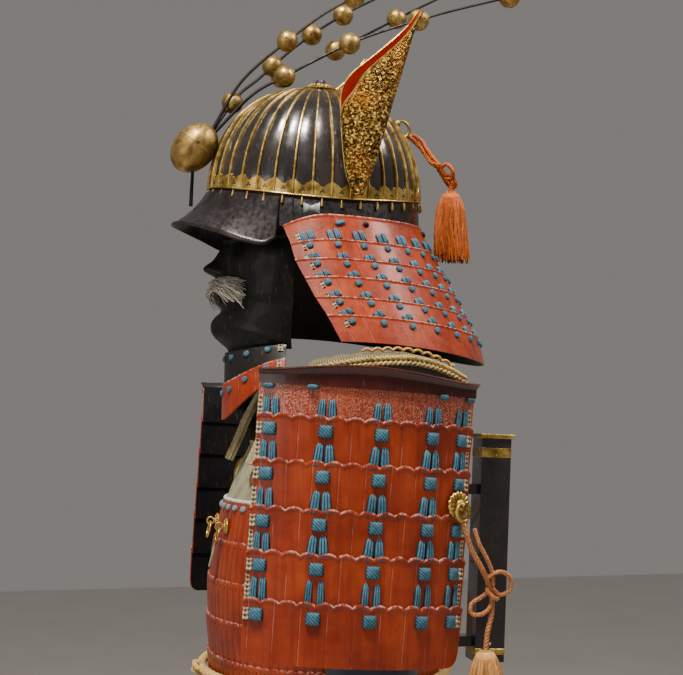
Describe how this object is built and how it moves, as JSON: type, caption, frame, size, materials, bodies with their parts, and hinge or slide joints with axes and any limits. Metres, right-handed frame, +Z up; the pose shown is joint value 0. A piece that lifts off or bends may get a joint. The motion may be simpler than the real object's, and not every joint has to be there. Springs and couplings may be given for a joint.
{
  "type": "suit of armour",
  "caption": "Laced samurai armour in its worn hollow form: ribbed helmet with crests, mask, neck guard, cuirass, shoulder guards, tassets, sleeves and leg guards.",
  "frame": {"origin": "midway between the undersides of the two shoulder straps, where the wearer's shoulders carry the cuirass", "axes": "+Z up, the front faces -Y, the wearer's left is +X"},
  "size_m": [0.5916, 0.408, 1.7692],
  "materials": {
    "black_lacquer": "deep glossy black lacquer",
    "gold": "gilt, softly polished, worn on the edges",
    "iron": "dark russet iron, satin",
    "red_lacquer": "brick red lacquer over leather, satin",
    "dark_red_lacquer": "dark maroon lacquer",
    "brocade": "padded olive and gold brocade",
    "patterned_leather": "pale green and gold patterned leather",
    "orange_silk": "twisted orange silk",
    "pale_silk": "twisted pale orange silk",
    "yellow_silk": "yellow silk cord",
    "indigo_cloth": "indigo hemp cloth, also the blue lacing"
  },
  "bodies": {
    "armour": {"helmet_bowl": "black_lacquer", "helmet_band": "gold", "helmet_base": "iron", "crown_fitting": "gold", "visor": "iron", "front_crest": "gold", "ear_left": "gold", "ear_right": "gold", "helmet_cord": "orange_silk", "helmet_tassel": "orange_silk", "neck_lame_1": "red_lacquer", "neck_lame_2": "red_lacquer", "neck_lame_3": "red_lacquer", "neck_lame_4": "red_lacquer", "neck_lame_5": "red_lacquer", "neck_lame_6": "red_lacquer", "mask": "black_lacquer", "throat_guard": "red_lacquer", "body_front": "red_lacquer", "body_back": "red_lacquer", "chest_plate": "patterned_leather", "shoulder_yoke": "patterned_leather", "shoulder_wing_left": "brocade", "shoulder_wing_right": "brocade", "waist_cord": "yellow_silk", "tasset_1": "red_lacquer", "tasset_2": "red_lacquer", "tasset_3": "red_lacquer", "tasset_4": "red_lacquer", "tasset_5": "red_lacquer", "tasset_6": "red_lacquer", "tasset_7": "red_lacquer", "left_guard_top_plate": "dark_red_lacquer", "left_guard_cord": "pale_silk", "left_guard_tassel": "pale_silk", "left_guard_lame_1": "red_lacquer", "left_guard_lame_2": "red_lacquer", "left_guard_lame_3": "red_lacquer", "left_guard_lame_4": "red_lacquer", "left_guard_lame_5": "red_lacquer", "left_guard_lame_6": "red_lacquer", "right_guard_top_plate": "dark_red_lacquer", "right_guard_cord": "pale_silk", "right_guard_tassel": "pale_silk", "right_guard_lame_1": "red_lacquer", "right_guard_lame_2": "red_lacquer", "right_guard_lame_3": "red_lacquer", "right_guard_lame_4": "red_lacquer", "right_guard_lame_5": "red_lacquer", "right_guard_lame_6": "red_lacquer", "chest_fitting_left": "gold", "chest_fitting_right": "gold", "banner_tube": "black_lacquer", "sleeve_left": "indigo_cloth", "sleeve_right": "indigo_cloth", "thigh_apron": "indigo_cloth", "shin_guard_left": "red_lacquer", "shin_guard_right": "red_lacquer"},
    "chest_ring_left_body": {"chest_ring_left": "gold"},
    "chest_ring_right_body": {"chest_ring_right": "gold"}
  },
  "joints": [
    {"name": "chest_ring_left_swing", "type": "hinge", "parent": "armour", "child": "chest_ring_left_body", "pos_m": [0.04297, -0.10978, -0.1771], "axis": [-1, 0, 0], "range_deg": [0, 80]},
    {"name": "chest_ring_right_swing", "type": "hinge", "parent": "armour", "child": "chest_ring_right_body", "pos_m": [-0.04297, -0.10978, -0.1771], "axis": [-1, 0, 0], "range_deg": [0, 80]}
  ]
}
